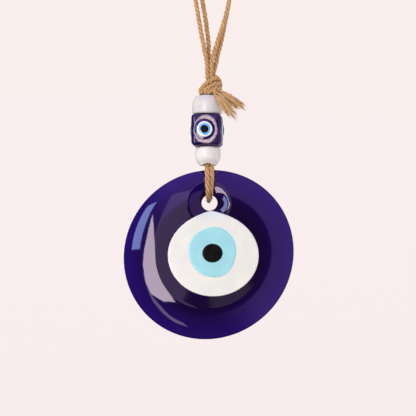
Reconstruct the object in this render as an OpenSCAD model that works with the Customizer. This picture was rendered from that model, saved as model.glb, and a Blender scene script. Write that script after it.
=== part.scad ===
// Hanging evil eye ornament: a glass disc with an eye of poured layers, slung on a jute twine
// that passes twice through three glass beads, is tied in a knot and ends in a double loop.
// Millimetres. The origin is where the top of a hook touches the inside of the loop's crown.
// The ornament hangs in -Z, its face looks along -Y and +X is on the right of the face.

/* [Disc] */
// Mean diameter of the glass disc
disc_d = 81; // [80:0.5:81.5]
// Thickness at the raised middle
disc_t = 9; // [8.5:0.1:9.2]
// Radius of the raised middle
plateau_r = 25.5; // [25:0.1:26]
// Radius of the flat back face
back_flat_r = 34; // [33:0.5:35]
// Height of the rim's outermost edge above the back face
rim_h = 3; // [2.8:0.1:3.2]

/* [Disc hole] */
// Diameter of the hole that the twine passes through
hole_d = 7.6; // [7.4:0.1:8]
// Height of the hole's centre above the disc's centre
hole_up = 24.6; // [24.4:0.1:24.8]
// Radius of the bowl pressed into the face around the hole
bowl_r = 9.5; // [9:0.1:10]
// Depth of the bowl
bowl_depth = 1.9; // [1.7:0.1:2]
// Radius of the bowl's bottom, where the hole's rounded mouth starts
mouth_r = 4.4; // [4.2:0.1:4.6]
// Radius of the hollow around the hole in the back face
back_bowl_r = 10.5; // [10:0.1:11]
// Depth of that hollow
back_bowl_depth = 1.4; // [1.2:0.1:1.6]

/* [Eye] */
// Half width of the white of the eye
white_half_w = 21.5; // [20:0.1:22]
// Half height of the white of the eye, without its point
white_half_h = 19.3; // [18.5:0.1:19.6]
// Share of its radius that the white's upper point adds
white_point = 0.1; // [0:0.01:0.11]
// Half height of the light blue iris
iris_half_h = 12.1; // [11:0.1:13]
// Reach of the iris to the left of its centre
iris_left = 13.1; // [12:0.1:14]
// Reach of the iris to the right of its centre
iris_right = 9.9; // [9:0.1:11]
// Half width of the black pupil
pupil_half_w = 4.9; // [4:0.1:6]
// Half height of the black pupil
pupil_half_h = 4.6; // [4:0.1:6]
// Height by which each poured layer stands above the one below it
layer_h = 0.3; // [0.2:0.05:0.4]

/* [Beads] */
// Diameter of the upper white bead
upper_bead_d = 14.6; // [14:0.1:14.8]
// Height of the upper white bead
upper_bead_h = 8.8; // [8.4:0.1:8.8]
// Diameter of the lower white bead
lower_bead_d = 12.4; // [12:0.1:13]
// Height of the lower white bead
lower_bead_h = 8.8; // [8.6:0.1:9]
// Width of the cube bead
cube_w = 14.2; // [14:0.1:14.4]
// Height of the cube bead
cube_h = 15.3; // [15:0.1:15.3]
// Radius of the cube bead's rounded edges
cube_round = 2; // [1.6:0.1:2.2]
// Angle that the cube bead is turned from square to the disc
cube_turn = -5; // [-20:1:20]
// Radius of the holes through the beads
bead_hole_r = 3.5; // [3.4:0.05:3.6]
// Rounding of the mouths of the holes through the round beads
bead_mouth = 0.7; // [0.6:0.05:0.8]

/* [Bead eyes] */
// Radius of the raised mound under each eye of the cube bead
mound_r = 5.2; // [5:0.1:5.4]
// Height of that mound above the bead's face
mound_h = 0.7; // [0.5:0.05:0.8]
// Radius of the white of a bead eye
dot_white_r = 3.7; // [3.5:0.1:4]
// Radius of the blue of a bead eye
dot_blue_r = 2.9; // [2.6:0.1:3.1]
// Radius of the pupil of a bead eye
dot_pupil_r = 2; // [1.6:0.1:2.2]

/* [Twine] */
// Diameter of the jute twine
twine_d = 2.2; // [2:0.1:2.2]

/* [Hidden] */

cobalt = [0.10, 0.04, 0.34];
milk_white = [0.93, 0.92, 0.90];
pale_blue = [0.66, 0.88, 0.93];
bright_blue = [0.43, 0.76, 0.94];
glass_black = [0.08, 0.08, 0.07];
jute = [0.74, 0.59, 0.41];

// Heights along the hanging line, below the hook
swing_z = -54.5;
tilt_z = -63.3;
upper_bead_top = -74.1;
cube_top = -83.1;
lower_bead_top = -98.7;
disc_z = -150;

// Small play across the hanging line: the beads lean left on the twine, the disc's centre a little
upper_bead_x = -0.9;
cube_x = -0.9;
lower_bead_x = -0.6;
strands_x = -0.2;
disc_x = -0.2;
hole_x = 0.2;
neck_x = 0.5;

// The disc's back lies this far behind the hanging line, which puts its weight under the hook
back_y = 4.1;
disc_r = disc_d / 2;
// How soon the face bends down outside the raised middle, and how round it ends at the rim
shoulder_bend = 1.4;
rim_bend = 0.62;
face_points = 20;
hole_r = hole_d / 2;
hole_z = disc_z + hole_up;
mouth_depth = 3;
layer_sunk = 0.8;
play = 0.3;
through = 20;

// Places of the eye's layers from the disc's centre
white_at = [2.2, -0.5];
iris_at = [3.3, 1.1];
pupil_at = [1.8, 0.6];
white_point_angle = 93;
white_point_width = 16;
white_point_round = 3;

// A bead eye's layers: how deep each is let in and how far it stands above the mound
dot_sunk = 0.4;
dot_layer = 0.2;
dot_shift = -0.6;
mound_curve = (mound_r * mound_r + mound_h * mound_h) / (2 * mound_h);
mound_root = 1.5;
mound_reach = 4;

// Corners of the round beads' sections, as [across, up]: each is a quarter of an ellipse
upper_bead_crown = [2.8, 4.4];
upper_bead_foot = [0.8, 1.1];
lower_bead_crown = [1.3, 1.5];
lower_bead_foot = [1.9, 3.8];
corner_steps = 8;
mouth_steps = 4;

twine_r = twine_d / 2;
strand_at = 1.12;
tube_sides = 8;
tilt_room = 1.3;
strands_end = -106.9;
strands_in_knot = 1.5;
round_fn = 64;
hull_fn = 28;

// The knot's neck, and its lobes as [centre, radius]
knot_neck_r = 2.4;
knot_neck_h = 1;
knot_lobes = [
    [[2.9, 0, -69], 3.6],
    [[0.6, 0.4, -69.6], 4],
    [[-2.2, -0.4, -71.2], 2.5]
];

// The frayed ends, each as [centre, radius] where it leaves the knot and at its tip
upper_tail = [[[4.6, -1.9, -71.2], 1.2], [[14.2, -4.4, -77.6], 2.2]];
lower_tail = [[[4.6, -4.6, -72.6], 1.1], [[11.6, -7.4, -82.4], 2]];

// Route of the front loop turn, as [x, z], up the left leg, over the crown and down the right leg
front_turn_y = -1.2;
front_turn_route = [
    [-2.1, -53], [-2.9, -48.5], [-4, -43], [-5, -37], [-6, -31], [-6.9, -25], [-7.5, -19],
    [-7.5, -13], [-6.5, -7], [-4, -1.7], [0, 1.1], [4.3, 0.2], [8, -3.6], [10.3, -9],
    [11, -15], [10.7, -21], [9.8, -27], [8.7, -33], [7.1, -38.7], [5.4, -44],
    [3.9, -48.5], [2.4, -53]
];

// Route of the back loop turn
back_turn_y = 1.2;
back_turn_route = [
    [-0.3, -53], [-0.3, -48.5], [-0.9, -43], [-1.7, -37], [-2.7, -31], [-3.9, -25], [-5, -19],
    [-5.6, -13], [-5.3, -7], [-3.4, -1.9], [0, 1.1], [3.9, 0.2], [7.3, -3.5], [9.5, -8.8],
    [10.4, -14.8], [10.3, -21], [9.7, -27], [8.8, -33], [7.6, -38.7], [6.6, -44],
    [5.6, -48.5], [4.4, -53]
];

// Route of a sling strand, as [y, z]: down the face, through the hole and up the back
sling_route = [
    [-1.2, -107.3], [-1.2, -108.1], [-2, -109.3], [-3.1, -111], [-4.1, -113.4],
    [-5.3, -118.4], [-5.2, -121.1], [-3.6, -123.1], [0, -123.5], [3.1, -123.5],
    [5.2, -122.4], [6.2, -119.6], [6.1, -114.6], [5.3, -111], [4, -109.1], [2.4, -108.4],
    [1.2, -107.9], [1.2, -107.3]
];

function unit(v) = v / norm(v);

// Height of the disc's face above its back at radius r: flat in the middle, steepest at the rim
function face_h(r) =
    rim_h + (disc_t - rim_h) * pow(1 - pow(shoulder(r), shoulder_bend), rim_bend);
function shoulder(r) = max(0, (r - plateau_r) / (disc_r - plateau_r));

// An arc of an ellipse as points, from angle a to angle b
function arc(cx, cy, rx, ry, a, b, n) =
    [for (i = [0:n]) [cx + rx * cos(a + (b - a) * i / n), cy + ry * sin(a + (b - a) * i / n)]];

// Radius share of the white of the eye at an angle: 1, and more at its upper point
function white_share(a) =
    1 + white_point * exp((white_point_round
    - sqrt(pow(a - white_point_angle, 2) + pow(white_point_round, 2))) / white_point_width);

function along(route, i) = unit(route[min(i + 1, len(route) - 1)] - route[max(i - 1, 0)]);
function tube_ring(route, i, side) = [
    for (k = [0:tube_sides - 1])
        route[i] + twine_r * (cos(360 * k / tube_sides) * side
        + sin(360 * k / tube_sides) * cross(along(route, i), side))
];

// A tube of the twine's diameter along a flat route, whose plane is square to side
module twine_tube(route, side) {
    last = len(route) - 1;
    polyhedron(
        points = [for (i = [0:last]) each tube_ring(route, i, side)],
        faces = concat(
            [[for (k = [tube_sides - 1:-1:0]) k]],
            [for (i = [0:last - 1]) for (k = [0:tube_sides - 1])
                [i * tube_sides + k, i * tube_sides + (k + 1) % tube_sides,
                (i + 1) * tube_sides + (k + 1) % tube_sides]],
            [for (i = [0:last - 1]) for (k = [0:tube_sides - 1])
                [i * tube_sides + k, (i + 1) * tube_sides + (k + 1) % tube_sides,
                (i + 1) * tube_sides + k]],
            [[for (k = [0:tube_sides - 1]) last * tube_sides + k]]
        )
    );
}

module loop_turn(route, y) {
    color(jute) twine_tube([for (p = route) [p[0], y, p[1]]], [0, 1, 0]);
}

module sling_strand(x) {
    color(jute) twine_tube([for (p = sling_route) [x, p[0], p[1]]], [1, 0, 0]);
}

// Four straight strands side by side, two by two
module four_strands(x, z_low, z_high) {
    color(jute)
        for (sx = [-1, 1])
            for (sy = [-1, 1])
                translate([x + sx * strand_at, sy * strand_at, z_low])
                    cylinder(r = twine_r, h = z_high - z_low, $fn = round_fn);
}

module neck_strands() {
    four_strands(neck_x, tilt_z + tilt_room, swing_z);
}

module bead_strands() {
    four_strands(strands_x, strands_end, upper_bead_top + strands_in_knot);
}

// The overhand knot's outer shape: a neck, a bulge on the right and a wrap low on the left
module knot() {
    color(jute)
        hull() {
            translate([neck_x, 0, tilt_z - play - knot_neck_h])
                cylinder(r = knot_neck_r, h = knot_neck_h, $fn = hull_fn);
            for (lobe = knot_lobes)
                translate(lobe[0]) sphere(r = lobe[1], $fn = hull_fn);
        }
}

// A frayed end of the twine, thicker towards its tip
module tail(ends) {
    color(jute)
        hull()
            for (end = ends)
                translate(end[0]) sphere(r = end[1], $fn = hull_fn);
}

// A round bead: its outer corners are quarter ellipses, and its hole's mouths are rounded
module round_bead(d, h, crown, foot, x, z) {
    r = d / 2;
    mouth_at = bead_hole_r + bead_mouth;
    color(milk_white)
        translate([x, 0, z])
            rotate_extrude($fn = round_fn)
                polygon(concat(
                    arc(mouth_at, bead_mouth, bead_mouth, bead_mouth, 180, 270, mouth_steps),
                    arc(r - foot[0], foot[1], foot[0], foot[1], -90, 0, corner_steps),
                    arc(r - crown[0], h - crown[1], crown[0], crown[1], 0, 90, corner_steps),
                    arc(mouth_at, h - bead_mouth, bead_mouth, bead_mouth, 90, 180, mouth_steps)
                ));
}

module upper_bead() {
    round_bead(upper_bead_d, upper_bead_h, upper_bead_crown, upper_bead_foot,
        upper_bead_x, upper_bead_top - upper_bead_h);
}

module lower_bead() {
    round_bead(lower_bead_d, lower_bead_h, lower_bead_crown, lower_bead_foot,
        lower_bead_x, lower_bead_top - lower_bead_h);
}

// Places what follows on one face of the cube bead: +Z leads out of the face from its surface
module on_face(turn) {
    translate([cube_x, 0, cube_top - cube_h / 2])
        rotate([0, 0, cube_turn + turn])
            translate([dot_shift, -cube_w / 2, 0])
                rotate([90, 0, 0])
                    children();
}

// The round-topped plug of radius r under the mound's curve, raised by lift
module mound(r, lift) {
    intersection() {
        translate([0, 0, mound_h - mound_curve]) sphere(r = mound_curve + lift, $fn = round_fn);
        translate([0, 0, -mound_root]) cylinder(r = r, h = mound_reach, $fn = round_fn);
    }
}

// One layer of a bead eye between two lifts
module dot_layer_solid(r, low, high) {
    difference() {
        mound(r, high);
        translate([0, 0, mound_h - mound_curve]) sphere(r = mound_curve + low, $fn = round_fn);
    }
}

module eye_white(turn) {
    color(milk_white)
        on_face(turn)
            difference() {
                dot_layer_solid(dot_white_r, -dot_sunk, dot_layer / 2);
                dot_layer_solid(dot_blue_r, -dot_sunk / 2, dot_layer * 2);
            }
}

module eye_blue(turn) {
    color(bright_blue)
        on_face(turn)
            difference() {
                dot_layer_solid(dot_blue_r, -dot_sunk / 2, dot_layer);
                dot_layer_solid(dot_pupil_r, 0, dot_layer * 2);
            }
}

module eye_pupil(turn) {
    color(glass_black)
        on_face(turn) dot_layer_solid(dot_pupil_r, 0, dot_layer * 1.5);
}

module cube_block() {
    reach = [cube_w / 2 - cube_round, cube_w / 2 - cube_round, cube_h / 2 - cube_round];
    translate([cube_x, 0, cube_top - cube_h / 2])
        rotate([0, 0, cube_turn])
            hull()
                for (sx = [-1, 1])
                    for (sy = [-1, 1])
                        for (sz = [-1, 1])
                            translate([sx * reach[0], sy * reach[1], sz * reach[2]])
                                sphere(r = cube_round, $fn = hull_fn);
}

module cube_bead() {
    color(cobalt)
        difference() {
            union() {
                cube_block();
                for (turn = [0:90:270])
                    on_face(turn) mound(mound_r, 0);
            }
            for (turn = [0:90:270])
                on_face(turn) dot_layer_solid(dot_white_r, -dot_sunk, 1);
            translate([cube_x, 0, cube_top - through])
                cylinder(r = bead_hole_r, h = 2 * through, $fn = round_fn);
        }
}

// Turns a shape drawn around +Z so that its top looks along -Y, with the disc's back at back_y
module facing_front() {
    translate([disc_x, back_y, disc_z])
        rotate([90, 0, 0])
            children();
}

// The bowl that is pressed into a face raised by lift
module bowl(lift) {
    bowl_slope = (bowl_r - mouth_r) / bowl_depth;
    translate([hole_x - disc_x, hole_up, disc_t + lift - bowl_depth])
        cylinder(r1 = mouth_r, r2 = bowl_r + bowl_slope, h = bowl_depth + 1, $fn = round_fn);
}

// The twine's hole with its mouth in the face, and the hollow around it in the back
module twine_hole() {
    back_curve = (back_bowl_r * back_bowl_r + back_bowl_depth * back_bowl_depth)
        / (2 * back_bowl_depth);
    translate([hole_x - disc_x, hole_up, 0]) {
        translate([0, 0, disc_t - mouth_depth])
            cylinder(r1 = hole_r, r2 = mouth_r, h = mouth_depth - bowl_depth, $fn = round_fn);
        translate([0, 0, -through / 2]) cylinder(r = hole_r, h = 2 * through, $fn = round_fn);
        translate([0, 0, back_bowl_depth - back_curve]) sphere(r = back_curve, $fn = round_fn);
    }
}

// The glass body before the eye is let into it
module pressed_body() {
    difference() {
        rotate_extrude($fn = round_fn)
            polygon(concat(
                [[0, 0], [back_flat_r, 0]],
                arc(back_flat_r, rim_h, disc_r - back_flat_r, rim_h, -60, 0, 4),
                [for (i = [face_points - 1:-1:0])
                    let (r = plateau_r + (disc_r - plateau_r) * sqrt(i / face_points))
                    [r, face_h(r)]],
                [[0, disc_t]]
            ));
        bowl(0);
        twine_hole();
    }
}

// The raised middle alone, cut off at the hole's mouth, with its face raised by lift
module plateau_body(lift) {
    difference() {
        cylinder(r = plateau_r, h = disc_t + lift, $fn = round_fn);
        bowl(lift);
        translate([hole_x - disc_x, hole_up, 0]) cylinder(r = mouth_r, h = through, $fn = round_fn);
    }
}

module white_outline() {
    translate([white_at[0], white_at[1], 0])
        linear_extrude(height = through)
            polygon([for (a = [0:5:355])
            [white_half_w * cos(a), white_half_h * sin(a)] * white_share(a)]);
}

module iris_outline(low) {
    translate([iris_at[0], iris_at[1], low])
        linear_extrude(height = through)
            polygon([for (a = [0:6:354])
            [(cos(a) < 0 ? iris_left : iris_right) * cos(a), iris_half_h * sin(a)]]);
}

module pupil_outline(low) {
    translate([pupil_at[0], pupil_at[1], low])
        linear_extrude(height = through)
            polygon([for (a = [0:8:352]) [pupil_half_w * cos(a), pupil_half_h * sin(a)]]);
}

module glass_disc() {
    color(cobalt)
        facing_front()
            difference() {
                pressed_body();
                difference() {
                    white_outline();
                    plateau_body(-layer_sunk);
                }
            }
}

module white_eye() {
    color(milk_white)
        facing_front()
            difference() {
                intersection() {
                    white_outline();
                    plateau_body(layer_h);
                }
                plateau_body(-layer_sunk);
                iris_outline(disc_t);
            }
}

module light_blue_iris() {
    color(pale_blue)
        facing_front()
            difference() {
                intersection() {
                    iris_outline(disc_t);
                    cylinder(r = plateau_r, h = disc_t + 2 * layer_h, $fn = round_fn);
                }
                pupil_outline(disc_t + layer_h);
            }
}

module black_pupil() {
    color(glass_black)
        facing_front()
            intersection() {
                pupil_outline(disc_t + layer_h);
                cylinder(r = plateau_r, h = disc_t + 3 * layer_h, $fn = round_fn);
            }
}

loop_turn(front_turn_route, front_turn_y);  // loop_turn_front
loop_turn(back_turn_route, back_turn_y);  // loop_turn_back
neck_strands();
knot();
tail(upper_tail);  // tail_upper
tail(lower_tail);  // tail_lower
bead_strands();
upper_bead();
cube_bead();
eye_white(0);  // front_eye_white
eye_blue(0);  // front_eye_blue
eye_pupil(0);  // front_eye_pupil
eye_white(90);  // right_eye_white
eye_blue(90);  // right_eye_blue
eye_pupil(90);  // right_eye_pupil
eye_white(180);  // back_eye_white
eye_blue(180);  // back_eye_blue
eye_pupil(180);  // back_eye_pupil
eye_white(270);  // left_eye_white
eye_blue(270);  // left_eye_blue
eye_pupil(270);  // left_eye_pupil
lower_bead();
sling_strand(-strand_at);  // sling_strand_left
sling_strand(strand_at);  // sling_strand_right
glass_disc();
white_eye();
light_blue_iris();
black_pupil();
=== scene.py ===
import math

import bpy
import numpy as np
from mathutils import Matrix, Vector


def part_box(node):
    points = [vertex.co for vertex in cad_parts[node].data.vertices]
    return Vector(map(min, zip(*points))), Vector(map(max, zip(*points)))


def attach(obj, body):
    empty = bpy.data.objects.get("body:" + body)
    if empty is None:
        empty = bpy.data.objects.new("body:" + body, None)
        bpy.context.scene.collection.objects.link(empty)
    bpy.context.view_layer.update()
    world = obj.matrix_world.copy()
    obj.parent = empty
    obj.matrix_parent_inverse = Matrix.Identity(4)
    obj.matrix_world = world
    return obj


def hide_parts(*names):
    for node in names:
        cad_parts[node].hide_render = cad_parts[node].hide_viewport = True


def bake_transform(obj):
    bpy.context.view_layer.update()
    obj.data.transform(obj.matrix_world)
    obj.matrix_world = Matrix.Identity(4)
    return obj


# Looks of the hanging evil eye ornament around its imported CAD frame. Everything is in metres, in
# the CAD's frame: the origin is at the crown of the loop, +Z is up and the face looks along -Y.

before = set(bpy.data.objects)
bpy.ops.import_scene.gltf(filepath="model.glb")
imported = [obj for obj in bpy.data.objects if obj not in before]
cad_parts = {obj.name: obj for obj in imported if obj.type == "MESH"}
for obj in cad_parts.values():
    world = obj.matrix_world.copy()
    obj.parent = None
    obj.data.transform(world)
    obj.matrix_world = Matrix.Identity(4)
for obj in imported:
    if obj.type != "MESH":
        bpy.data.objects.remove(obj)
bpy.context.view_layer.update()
rng = np.random.default_rng(11)
TAU = 2 * math.pi
MM = 0.001

# -------- places, from the frame

disc_low, disc_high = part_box("glass_disc")
DISC_X = (disc_low.x + disc_high.x) / 2
DISC_Z = (disc_low.z + disc_high.z) / 2
DISC_BACK = disc_high.y
DISC_R = (disc_high.x - disc_low.x) / 2
cube_low, cube_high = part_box("cube_bead")

# The disc's sizes, as in the CAD. The face falls from its flat middle to the rim in a curve that
# starts as one power and ends as another.
DISC_T = 9 * MM
PLATEAU_R = 25.5 * MM
SHOULDER_BEND = 1.4
RIM_BEND = 0.62
RIM_H = 3 * MM
BACK_FLAT_R = 34 * MM
HOLE_R = 3.8 * MM
HOLE_AT = np.array([0.4 * MM, 24.6 * MM])
MOUTH_R = 4.4 * MM
MOUTH_DEPTH = 3 * MM
BACK_BOWL_R = 10.5 * MM
BACK_BOWL_DEPTH = 1.4 * MM

# What only the looks have: a faint crown, a shoulder that leans to one side, a softer bowl that
# the poured eye partly fills, and a slightly oval outline
CROWN = 0.4 * MM
LEAN = 2 * MM
BOWL_R = 10.4 * MM
BOWL_DEPTH = 2.5 * MM
BOWL_BEND = 1.4
BOWL_FILL = 0.72
OVAL = 0.021
OVAL_ANGLE = math.radians(41.5)

# Twine: three plies that touch at its middle. The loop's mesh meets the legs' at SEAM_Z.
TWINE_R = 1.1 * MM
PLIES = 3
PLY_R = 0.56 * MM
PLY_OFFSET = 0.56 * MM
PLY_SIDES = 9
LAY_PITCH = 6.6 * MM
RING_STEP = 0.3 * MM
SEAM_Z = -0.0600
LOOP_FUZZ = 5
KNOT_FUZZ = 6
SLING_FUZZ = 9

# -------- camera and light

CAMERA_AT = Vector((0.002, -0.56, -0.150))
CAMERA_AIM = Vector((-0.0005, -0.004, -0.1280))
CAMERA_LENS = 101.5


def aim(obj, target):
    obj.rotation_euler = (Vector(target) - obj.location).to_track_quat("-Z", "Y").to_euler()


def add_camera():
    data = bpy.data.cameras.new("camera")
    camera = bpy.data.objects.new("camera", data)
    bpy.context.scene.collection.objects.link(camera)
    camera.location = CAMERA_AT
    data.lens = CAMERA_LENS
    data.clip_start = 0.01
    aim(camera, CAMERA_AIM)
    bpy.context.scene.camera = camera


def add_area(name, location, target, width, height, power, colour, glossy=True, diffuse=True):
    data = bpy.data.lights.new(name, "AREA")
    data.shape = "RECTANGLE"
    data.size = width
    data.size_y = height
    data.energy = power
    data.color = colour
    light = bpy.data.objects.new(name, data)
    bpy.context.scene.collection.objects.link(light)
    light.location = location
    aim(light, target)
    light.visible_camera = False
    light.visible_glossy = glossy
    light.visible_diffuse = diffuse


# -------- shader helpers


class Nodes:
    """A node tree with short calls for the nodes that this scene uses."""

    def __init__(self, tree):
        self.tree = tree

    def add(self, kind, **settings):
        node = self.tree.nodes.new(kind)
        for key, value in settings.items():
            setattr(node, key, value)
        return node

    def link(self, source, target):
        self.tree.links.new(source, target)

    def scaled(self, vector, scale):
        node = self.add("ShaderNodeVectorMath", operation="MULTIPLY")
        self.link(vector, node.inputs[0])
        node.inputs[1].default_value = scale
        return node.outputs[0]

    def noise(self, vector, scale, detail=3.0, roughness=0.55, distortion=0.0):
        node = self.add("ShaderNodeTexNoise")
        self.link(vector, node.inputs["Vector"])
        node.inputs["Scale"].default_value = scale
        node.inputs["Detail"].default_value = detail
        node.inputs["Roughness"].default_value = roughness
        node.inputs["Distortion"].default_value = distortion
        return node.outputs["Fac"]

    def math(self, operation, first, second):
        node = self.add("ShaderNodeMath", operation=operation)
        for socket, value in zip(node.inputs, (first, second)):
            if isinstance(value, (int, float)):
                socket.default_value = value
            else:
                self.link(value, socket)
        return node.outputs[0]

    def spread(self, value, low, high, to_low=0.0, to_high=1.0):
        node = self.add("ShaderNodeMapRange", interpolation_type="SMOOTHSTEP")
        self.link(value, node.inputs["Value"])
        for key, number in zip(("From Min", "From Max", "To Min", "To Max"),
                               (low, high, to_low, to_high)):
            node.inputs[key].default_value = number
        return node.outputs["Result"]

    def ramp(self, value, stops):
        node = self.add("ShaderNodeValToRGB")
        self.link(value, node.inputs["Fac"])
        elements = node.color_ramp.elements
        while len(elements) < len(stops):
            elements.new(0.5)
        for element, (position, colour) in zip(elements, stops):
            element.position = position
            element.color = (*colour, 1)
        return node.outputs["Color"]

    def mix(self, share, first, second):
        """first and second are colours or outputs, and share is an output."""
        node = self.add("ShaderNodeMix", data_type="RGBA")
        self.link(share, node.inputs["Factor"])
        for socket, value in ((node.inputs["A"], first), (node.inputs["B"], second)):
            if isinstance(value, tuple):
                socket.default_value = (*value, 1)
            else:
                self.link(value, socket)
        return node.outputs["Result"]


class Shader(Nodes):
    """A material. Constants go on its surface under their own names, with _ for a space."""

    def __init__(self, name, **constants):
        self.material = bpy.data.materials.new(name)
        self.material.use_nodes = True
        super().__init__(self.material.node_tree)
        self.surface = self.tree.nodes["Principled BSDF"]
        for key, value in constants.items():
            self.surface.inputs[key.replace("_", " ")].default_value = value

    def place(self):
        return self.add("ShaderNodeTexCoord").outputs["Object"]

    def attribute(self, name, output="Fac"):
        return self.add("ShaderNodeAttribute", attribute_name=name).outputs[output]

    def colour(self, value):
        self.link(value, self.surface.inputs["Base Color"])

    def rough(self, value):
        self.link(value, self.surface.inputs["Roughness"])

    def bump(self, height, strength, distance):
        node = self.add("ShaderNodeBump")
        node.inputs["Strength"].default_value = strength
        node.inputs["Distance"].default_value = distance
        self.link(height, node.inputs["Height"])
        self.link(node.outputs["Normal"], self.surface.inputs["Normal"])


# -------- materials


def jute_material():
    """Twisted jute: pale and dark fibres along the yarns, and painted shade in the furrows between
    them.
    """
    s = Shader("jute", Roughness=0.82, Specular_IOR_Level=0.25, Sheen_Weight=0.25,
               Sheen_Roughness=0.5)
    fibre = s.attribute("fibre", "Vector")
    streaks = s.noise(fibre, 9.0, 4.0, 0.6)
    patches = s.noise(fibre, 1.1, 2.0, 0.5)
    tone = s.math("ADD", s.math("MULTIPLY", streaks, 0.7), s.math("MULTIPLY", patches, 0.3))
    base = s.ramp(tone, [(0.30, (0.25, 0.115, 0.040)), (0.44, (0.52, 0.285, 0.112)),
                         (0.56, (0.70, 0.435, 0.195)), (0.72, (0.85, 0.62, 0.340))])
    # Painted shade: the yarns turn dark brown towards the twine's middle, in the furrows between
    # them.
    furrow_shade = s.spread(s.attribute("depth"), 0.30, 0.95)
    s.colour(s.mix(furrow_shade, (0.20, 0.085, 0.030), base))
    s.bump(streaks, 0.55, 0.00012)
    return s.material


def hair_material():
    """The single fibres that stand off the twine and make its frayed ends."""
    s = Shader("jute_fibre", Roughness=0.7, Specular_IOR_Level=0.25)
    tone = s.noise(s.attribute("fibre", "Vector"), 3.0, 2.0, 0.5)
    s.colour(s.ramp(tone, [(0.35, (0.56, 0.34, 0.15)), (0.65, (0.88, 0.66, 0.38))]))
    return s.material


def cobalt_material():
    """The disc's cobalt glass, opaque: near black where it is thick, and painted lighter
    violet-blue where it thins out, as if light shone through the rim.
    """
    s = Shader("cobalt_glass", Roughness=0.045, IOR=1.5)
    thick = s.attribute("thick")
    place = s.place()
    cloud = s.noise(place, 45.0, 3.0, 0.5, 1.2)
    depth = s.math("ADD", thick, s.math("MULTIPLY", s.math("SUBTRACT", cloud, 0.5), 0.12))
    # Painted light: the lighter violet-blue towards the rim stands in for light passing through the
    # thin glass.
    s.colour(s.ramp(depth, [(0.0, (0.0150, 0.0034, 0.125)), (0.36, (0.0120, 0.0024, 0.090)),
                            (0.77, (0.0090, 0.0021, 0.052)), (1.0, (0.0080, 0.0022, 0.030))]))
    s.bump(s.noise(place, 60.0, 2.0, 0.5), 0.10, 0.0004)
    return s.material


def milk_glass_material(name, light, dark, roughness, streak, tint=None):
    """Opaque white glass with faint streaks from the pour. tint is (colour, from z, to z)."""
    s = Shader(name, Roughness=roughness, IOR=1.5, Subsurface_Weight=0.12,
               Subsurface_Scale=0.002)
    place = s.place()
    flow = s.noise(s.scaled(place, streak), 1.0, 3.0, 0.5, 0.6)
    white = s.mix(s.spread(flow, 0.35, 0.68), dark, light)
    if tint:
        colour, low, high = tint
        height = s.add("ShaderNodeSeparateXYZ")
        s.link(place, height.inputs[0])
        white = s.mix(s.spread(height.outputs["Z"], low, high), white, colour)
    s.colour(white)
    s.bump(s.noise(place, 320.0, 2.0, 0.5), 0.06, 0.0003)
    return s.material


def poured_material(name, light, dark, roughness, shine=0.5):
    """A layer of coloured glass poured on the one below, slightly uneven in depth."""
    s = Shader(name, Roughness=roughness, IOR=1.5, Specular_IOR_Level=shine)
    place = s.place()
    s.colour(s.mix(s.spread(s.noise(place, 130.0, 3.0, 0.5, 0.8), 0.35, 0.7), dark, light))
    s.bump(s.noise(place, 240.0, 2.0, 0.5), 0.05, 0.0003)
    return s.material


def cube_material():
    """The cube bead's cobalt glass, with a pale painted reflection on the ring around the mound of
    each eye.
    """
    s = Shader("cube_glass", Roughness=0.12, IOR=1.5)
    place = s.place()
    cloud = s.noise(place, 260.0, 3.0, 0.55, 0.8)
    glass = s.mix(s.spread(cloud, 0.35, 0.7), (0.010, 0.004, 0.048), (0.026, 0.012, 0.080))
    patchy = s.spread(s.noise(place, 900.0), 0.30, 0.58, 0.55)
    # Painted reflection: the raised ring around each mound is coloured pale pink in patches and
    # made rougher.
    ring_sheen = s.math("MULTIPLY", s.attribute("ring_sheen"), patchy)
    s.colour(s.mix(ring_sheen, glass, (0.52, 0.42, 0.45)))
    s.rough(s.math("ADD", 0.06, s.math("MULTIPLY", ring_sheen, 0.4)))
    s.bump(cloud, 0.12, 0.0004)
    return s.material


# -------- mesh helpers


def mesh_object(name, points, faces, material, attributes=(), smooth=True):
    mesh = bpy.data.meshes.new(name)
    mesh.from_pydata(np.asarray(points, float).tolist(), [], [tuple(f) for f in faces])
    mesh.update()
    for key, values in dict(attributes).items():
        values = np.asarray(values, np.float32)
        if values.ndim == 2:
            layer = mesh.attributes.new(key, "FLOAT_VECTOR", "POINT")
            layer.data.foreach_set("vector", values.ravel())
        else:
            layer = mesh.attributes.new(key, "FLOAT", "POINT")
            layer.data.foreach_set("value", values)
    mesh.materials.append(material)
    if smooth:
        mesh.shade_smooth()
    obj = bpy.data.objects.new(name, mesh)
    bpy.context.scene.collection.objects.link(obj)
    return obj


def ring_faces(rings, sides, closed=False, flip=False):
    """Quads between rings of points that follow one another. closed joins the last to the first."""
    i = np.arange(rings if closed else rings - 1)[:, None]
    k = np.arange(sides)[None, :]
    j, m = (i + 1) % rings, (k + 1) % sides
    quads = np.stack([i * sides + k + 0 * j, i * sides + m, j * sides + m, j * sides + k], -1)
    quads = quads.reshape(-1, 4)
    return (quads[:, ::-1] if flip else quads).tolist()


def capped_faces(rings, sides):
    """Quads between rings, with a flat cap on the first and the last."""
    first, last = list(range(sides))[::-1], list(range((rings - 1) * sides, rings * sides))
    return ring_faces(rings, sides) + [first, last]


def angles(sides):
    return np.arange(sides) * TAU / sides


def circle_of(first, second, k):
    """At each point of a line, the directions at the angles k from first to second."""
    return (np.cos(k)[None, :, None] * first[:, None, :]
            + np.sin(k)[None, :, None] * second[:, None, :])


def at_turn(first, second, turn):
    """At each point of a line, the direction at that point's own angle from first to second."""
    return np.cos(turn)[:, None] * first + np.sin(turn)[:, None] * second


def label(obj, body, node):
    """Puts a piece on the empty of the body that it rides on and hides the CAD node that it stands
    for.
    """
    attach(obj, body)
    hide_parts(node)


def smooth_step(u):
    u = np.clip(u, 0, 1)
    return u * u * (3 - 2 * u)


# -------- twine


def distances_along(line):
    return np.concatenate([[0], np.cumsum(np.linalg.norm(np.diff(line, axis=0), axis=1))])


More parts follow.
